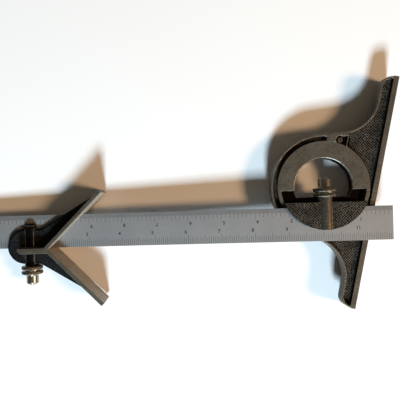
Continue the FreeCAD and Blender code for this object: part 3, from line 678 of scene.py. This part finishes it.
def numeral(text, height, place, turn, flip=False):
    """A number as a flat mesh, centred on a place on a face and turned in plan."""
    curve = bpy.data.curves.new("numeral", "FONT")
    curve.body = text
    curve.size = height / DIGIT_SHARE
    curve.align_x = "CENTER"
    curve.align_y = "CENTER"
    curve.extrude = (INLAY_PROUD + INLAY_DEEP) / 2
    curve.offset = height * STROKE_SWELL
    curve.resolution_u = 3
    holder = bpy.data.objects.new("numeral", curve)
    bpy.context.scene.collection.objects.link(holder)
    depsgraph = bpy.context.evaluated_depsgraph_get()
    mesh = bpy.data.meshes.new_from_object(holder.evaluated_get(depsgraph))
    bpy.data.objects.remove(holder)
    matrix = Matrix.Translation(place) @ Matrix.Rotation(turn, 4, "Z")
    if flip:
        matrix = matrix @ Matrix.Rotation(math.pi, 4, "Y")
    mesh.transform(matrix)
    return mesh


def joined(name, meshes):
    """Several meshes as one, in ink."""
    work = bmesh.new()
    for mesh in meshes:
        work.from_mesh(mesh)
        bpy.data.meshes.remove(mesh)
    bmesh.ops.remove_doubles(work, verts=work.verts, dist=0.0005 * MM)
    whole = bpy.data.meshes.new(name)
    work.to_mesh(whole)
    work.free()
    whole.materials.append(ink)
    return whole


NUMERAL_HEIGHT = 2.6 * MM
NUMERAL_ROW = 9.5 * MM
NUMERAL_ASIDE = 1.9 * MM


def rule_numerals(name):
    """Inch numbers of both rows; those of one digit stand beside their line."""
    middle = blade_high.z + (INLAY_PROUD - INLAY_DEEP) / 2
    meshes = []
    for number in range(1, 12):
        aside = 0 if number > 9 else NUMERAL_ASIDE
        lower = (blade_low.x + number * INCH - aside, blade_low.y + NUMERAL_ROW, middle)
        upper = (blade_high.x - number * INCH + aside, blade_high.y - NUMERAL_ROW, middle)
        meshes.append(numeral(str(number), NUMERAL_HEIGHT, Vector(lower), 0.0))
        meshes.append(numeral(str(number), NUMERAL_HEIGHT, Vector(upper), math.pi))
    return link(name, joined(name, meshes), "blade", "satin_blade_steel")


rule_numerals("inch_numerals")

# %% [markdown]
# A nut is turned on a lathe and then knurled. Its surface is a profile, radius against
# height, carried round the axis: x = r cos a, y = r sin a. On the two rims the radius
# also goes down and up with the angle, fifty-four times round, which cuts the straight
# knurl. The depth of each point in the knurl is kept for the shader.


# %% Knurled nuts
CREST_DEPTH = 0.28       # how dark a crest of the knurl is, from 0 to 1


def rounded_profile(corners, radius, steps=4):
    """A profile through corners, each rounded by a short quadratic curve."""
    corners = np.array(corners, float)
    before, here, after = corners[:-2], corners[1:-1], corners[2:]
    into = np.linalg.norm(before - here, axis=1)
    out = np.linalg.norm(after - here, axis=1)
    ease = np.minimum(radius, 0.45 * np.minimum(into, out))[:, None]
    start = here + (before - here) / into[:, None] * ease
    end = here + (after - here) / out[:, None] * ease
    share = np.linspace(0, 1, steps + 1)[None, :, None]
    curve = ((1 - share) ** 2 * start[:, None] + 2 * share * (1 - share) * here[:, None]
             + share ** 2 * end[:, None])
    return np.vstack([corners[:1], curve.reshape(-1, 2), corners[-1:]])


def turned_mesh(name, profile, knurled, teeth, depth, sides):
    """Carry a profile of (radius, height) round Z, with a straight knurl where knurled is 1.

    The radius is r - depth * knurled * (1 - |sin(teeth a / 2)|), so each tooth has a
    round crest and a sharp groove. The first and last profile points close to poles.
    The stored depth goes from CREST_DEPTH on a crest to 1 in a groove, and is 0 where
    there is no knurl.
    """
    angle = np.arange(sides) * math.tau / sides
    groove = 1 - np.abs(np.sin(teeth * angle / 2))
    radius = profile[1:-1, 0][:, None] - depth * knurled[1:-1][:, None] * groove[None]
    height = np.broadcast_to(profile[1:-1, 1][:, None], radius.shape)
    ring = np.stack([radius * np.cos(angle), radius * np.sin(angle), height], -1).reshape(-1, 3)
    rows = len(profile) - 2
    row, column = np.meshgrid(np.arange(rows - 1), np.arange(sides), indexing="ij")
    following = (column + 1) % sides
    quads = np.stack([row * sides + column, row * sides + following,
                      (row + 1) * sides + following, (row + 1) * sides + column], -1).reshape(-1, 4)
    points = np.vstack([ring, [(0, 0, profile[0, 1])], [(0, 0, profile[-1, 1])]])
    first, last = rows * sides, rows * sides + 1
    base = np.arange(sides)
    after = (base + 1) % sides
    start_fan = np.stack([np.full(sides, first), after, base], -1)
    top = (rows - 1) * sides
    end_fan = np.stack([np.full(sides, last), top + base, top + after], -1)
    mesh = bpy.data.meshes.new(name)
    mesh.from_pydata(points, [], quads.tolist() + start_fan.tolist() + end_fan.tolist())
    groove_darkening = CREST_DEPTH + (1 - CREST_DEPTH) * groove[None]
    deep = (knurled[1:-1][:, None] * groove_darkening).ravel()
    attribute = mesh.attributes.new("depth", "FLOAT", "POINT")
    attribute.data.foreach_set("value", np.append(deep, (0, 0)).astype(np.float32))
    return mesh


def seated(mesh, seat, direction):
    """Turn a mesh that stands on Z to stand along a direction from its seat."""
    turn = Vector((0, 0, 1)).rotation_difference(Vector(direction)).to_matrix().to_4x4()
    mesh.transform(Matrix.Translation(seat) @ turn)
    mesh.shade_smooth()
    mesh.set_sharp_from_angle(angle=math.radians(50))
    return mesh


NUT_TEETH = 54
NUT_SIDES = NUT_TEETH * 6


def clamp_nut(name, node, direction, body):
    """A clamp nut: two knurled rims, a waist between them, a hub and a domed end."""
    low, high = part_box(node)
    seat = (low + high) / 2
    seat.y = high.y if direction[1] < 0 else low.y
    radius, length = (high.x - low.x) / 2, high.y - low.y
    rim, gap, hub, shoulder, chamfer = 2.8 * MM, 0.9 * MM, 6.1 * MM, 0.9 * MM, 0.5 * MM
    waist, stem, dome = 6.6 * MM, 4.7 * MM, 2.9 * MM
    second = rim + gap
    top = second + rim
    profile = rounded_profile([
        (0, 0), (3.6 * MM, 0), (radius - chamfer, 0), (radius, chamfer), (radius, rim - chamfer),
        (radius - chamfer, rim), (waist, rim), (waist, second), (radius - chamfer, second),
        (radius, second + chamfer), (radius, top - chamfer), (radius - chamfer, top), (waist, top),
        (stem, top + shoulder), (stem, top + shoulder + hub), (dome, length - 0.15 * MM),
        (1.4 * MM, length), (0, length)], 0.3 * MM)
    knurled = np.clip((profile[:, 0] - radius + chamfer) / chamfer, 0, 1)
    mesh = turned_mesh(name, profile, knurled, NUT_TEETH, 0.30 * MM, NUT_SIDES)
    mesh.materials.append(knurl)
    seated(mesh, seat, direction)
    return link(name, mesh, body, "bronzed_steel", node)


clamp_nut("center_head_knurled_nut", "center_head_clamp_nut", (0, -1, 0), "center_clamp_nut")
clamp_nut("protractor_knurled_nut", "protractor_clamp_nut", (0, 1, 0), "turret_clamp_nut")


# %% The lock's nut under the frame
LOCK_TEETH = 40


def lock_nut(name, node, body):
    """The lock's nut: a knurled drum with a neck above it, seen from below."""
    low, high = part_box(node)
    seat = (low + high) / 2
    seat.z = high.z
    drum, neck = (high.x - low.x) / 2, 4.0 * MM
    length = high.z - low.z
    shoulder, edge = 1.9 * MM, 0.8 * MM
    profile = rounded_profile([
        (0, 0), (2.6 * MM, 0), (neck, 0), (neck, shoulder), (drum - edge, shoulder),
        (drum, shoulder + edge), (drum, length - edge), (drum - edge, length),
        (1.2 * MM, length), (0, length)], 0.5 * MM)
    knurled = np.clip((profile[:, 0] - (drum - edge)) / edge, 0, 1)
    mesh = turned_mesh(name, profile, knurled, LOCK_TEETH, 0.35 * MM, LOCK_TEETH * 6)
    mesh.materials.append(knurl)
    seated(mesh, seat, (0, 0, -1))
    return link(name, mesh, body, "bronzed_steel", node)


lock_nut("lock_knurled_nut", "turret_lock_nut", "lock_nut")

# %% [markdown]
# The small turned pieces keep their shape from the model, with eased edges: the hooked
# bolts, the lock's bolt and washer, the degree ring and its screws. The springs keep
# their nodes, and only their finish changes.

# %% Small turned pieces
SMALL = (
    ("degree_ring_plate", "turret_degree_ring", "turret", "ring_steel", ring_steel, 0.15),
    ("ring_screws", "degree_ring_screws", "turret", "plain_steel", bolt_steel, 0.06),
    ("lock_bolt_steel", "turret_lock_bolt", "lock_bolt", "plain_steel", aged_steel, 0.30),
    ("lock_washer_steel", "turret_lock_washer", "protractor_frame", "plain_steel",
     bolt_steel, 0.1),
    ("center_hooked_bolt", "center_head_clamp_bolt", "center_clamp_bolt", "plain_steel",
     bolt_steel, 0.1),
    ("protractor_hooked_bolt", "protractor_clamp_bolt", "turret_clamp_bolt", "plain_steel",
     bolt_steel, 0.1))
for piece_name, node, body, slot, material, width in SMALL:
    mesh = merged_copy(piece_name, node)
    mesh.materials.append(material)
    bevel(link(piece_name, mesh, body, slot, node), width * MM)
for node in ("center_head_clamp_spring", "protractor_clamp_spring"):
    frame["nodes"][node].material_slots[0].link = "OBJECT"
    frame["nodes"][node].material_slots[0].material = wire_steel

# %% [markdown]
# The degree scale is on the ring under the turret, inside the frame's back. One box is
# made for each degree, pointing away from the axis, and all of them are turned into
# place at once.


# %% Degree scale on the ring's underside
def degree_scale(name, outer):
    """A line for each degree round the ring, longer at the fives and tens."""
    degree = np.arange(360)
    length = np.full(360, 1.1 * MM)
    length[degree % 5 == 0] = 1.6 * MM
    length[degree % 10 == 0] = 2.2 * MM
    face = ring_low.z
    half = 0.05 * MM
    low = np.stack([outer - length, np.full(360, -half), np.full(360, face - INLAY_PROUD)], 1)
    high = np.stack([np.full(360, outer), np.full(360, half), np.full(360, face + INLAY_DEEP)], 1)
    mesh = boxes(name, low, high, np.radians(degree))
    mesh.transform(Matrix.Translation((turret_axis.x, turret_axis.y, 0)))
    return link(name, mesh, "turret", "ring_steel")


ring_outer = (ring_high.x - ring_low.x) / 2
degree_scale("degree_lines", ring_outer - 0.25 * MM)


def degree_numerals(name, radius):
    """Numbers from 0 to 90 and back, twice round the ring, read from below."""
    meshes = []
    for turn in range(0, 360, 10):
        number = 90 - abs(90 - turn % 180)
        angle = math.radians(turn)
        place = Vector((turret_axis.x + radius * math.cos(angle),
                        turret_axis.y + radius * math.sin(angle),
                        ring_low.z + (INLAY_DEEP - INLAY_PROUD) / 2))
        meshes.append(numeral(str(number), 1.3 * MM, place, angle + math.pi / 2, True))
    return link(name, joined(name, meshes), "turret", "ring_steel")


degree_numerals("degree_numerals", ring_outer - 3.4 * MM)

# %% [markdown]
# The floor is a plain pale sheet under the object. The set rests on the base's lower
# edge and on the end of the centre head, so it lies a little tilted. The pieces keep
# their places, and the floor is laid against the face of the hull that carries them.


# %% Floor
def resting_plane():
    """A point and the normal of the plane on which the object lies.

    The planes of the hull's lower faces all pass under the object. The one that is
    highest under its middle is the face that carries it.
    """
    work = bmesh.new()
    for node in frame["nodes"].values():
        work.from_mesh(node.data)
    hull = bmesh.ops.convex_hull(work, input=work.verts)
    lower = [item for item in hull["geom"]
             if isinstance(item, bmesh.types.BMFace) and item.normal.z < -0.9]

    def height_under_middle(face):
        point = face.calc_center_median()
        return point.z + (face.normal.x * point.x + face.normal.y * point.y) / face.normal.z

    carrying = max(lower, key=height_under_middle)
    point, normal = carrying.calc_center_median(), -carrying.normal
    work.free()
    return point, normal


def floor_material():
    """Pale, plain and matt."""
    finish = Finish("pale_floor", Roughness=0.9, Specular_IOR_Level=0.2)
    return finish.set(Base_Color=(0.88, 0.89, 0.91, 1.0))


floor_point, floor_normal = resting_plane()
print("floor normal", tuple(round(value, 4) for value in floor_normal))
FLOOR_HALF = 3.0
floor_mesh = bpy.data.meshes.new("bench")
floor_mesh.from_pydata([(-FLOOR_HALF, -FLOOR_HALF, 0), (FLOOR_HALF, -FLOOR_HALF, 0),
                        (FLOOR_HALF, FLOOR_HALF, 0), (-FLOOR_HALF, FLOOR_HALF, 0)], [],
                       [(0, 1, 2, 3)])
floor_mesh.materials.append(floor_material())
floor = bpy.data.objects.new("bench", floor_mesh)
bpy.context.scene.collection.objects.link(floor)
floor.matrix_world = (Matrix.Translation(floor_point)
                      @ Vector((0, 0, 1)).rotation_difference(floor_normal).to_matrix().to_4x4())

# %% [markdown]
# The photograph has two soft lamps. Their shadows tell where they stand: one throws the
# object's shadow straight up in the picture and the other to the left, and both are
# about thirty-five degrees above the bench. Where only the cool one is hidden the bench is
# tan, where only the warm one is hidden it is bluish, and together they are white.


# %% Light
def lamp(name, heading, elevation, size, power, colour):
    """A square area lamp, LAMP_REACH from the object's middle, that points at it."""
    light = bpy.data.lights.new(name, "AREA")
    light.shape = "SQUARE"
    light.size = size
    light.energy = power
    light.color = colour
    holder = bpy.data.objects.new(name, light)
    bpy.context.scene.collection.objects.link(holder)
    flat = math.cos(elevation)
    away = Vector((math.cos(heading) * flat, math.sin(heading) * flat, math.sin(elevation)))
    holder.location = away * LAMP_REACH
    holder.rotation_euler = away.to_track_quat("Z", "Y").to_euler()


LAMP_REACH = 2.4
lamp("cool_lamp", math.radians(-88), math.radians(34.5), 0.44, 97.0, (0.72, 0.90, 1.0))
lamp("warm_lamp", math.radians(-15), math.radians(36.5), 0.50, 36.0, (1.0, 0.62, 0.34))

world = bpy.data.worlds.new("studio")
world.use_nodes = True
world.node_tree.nodes["Background"].inputs["Color"].default_value = (1.0, 0.81, 0.58, 1.0)
world.node_tree.nodes["Background"].inputs["Strength"].default_value = 0.10
bpy.context.scene.world = world
bpy.context.scene.view_settings.view_transform = "Standard"
print("lamps", len(bpy.data.lights))
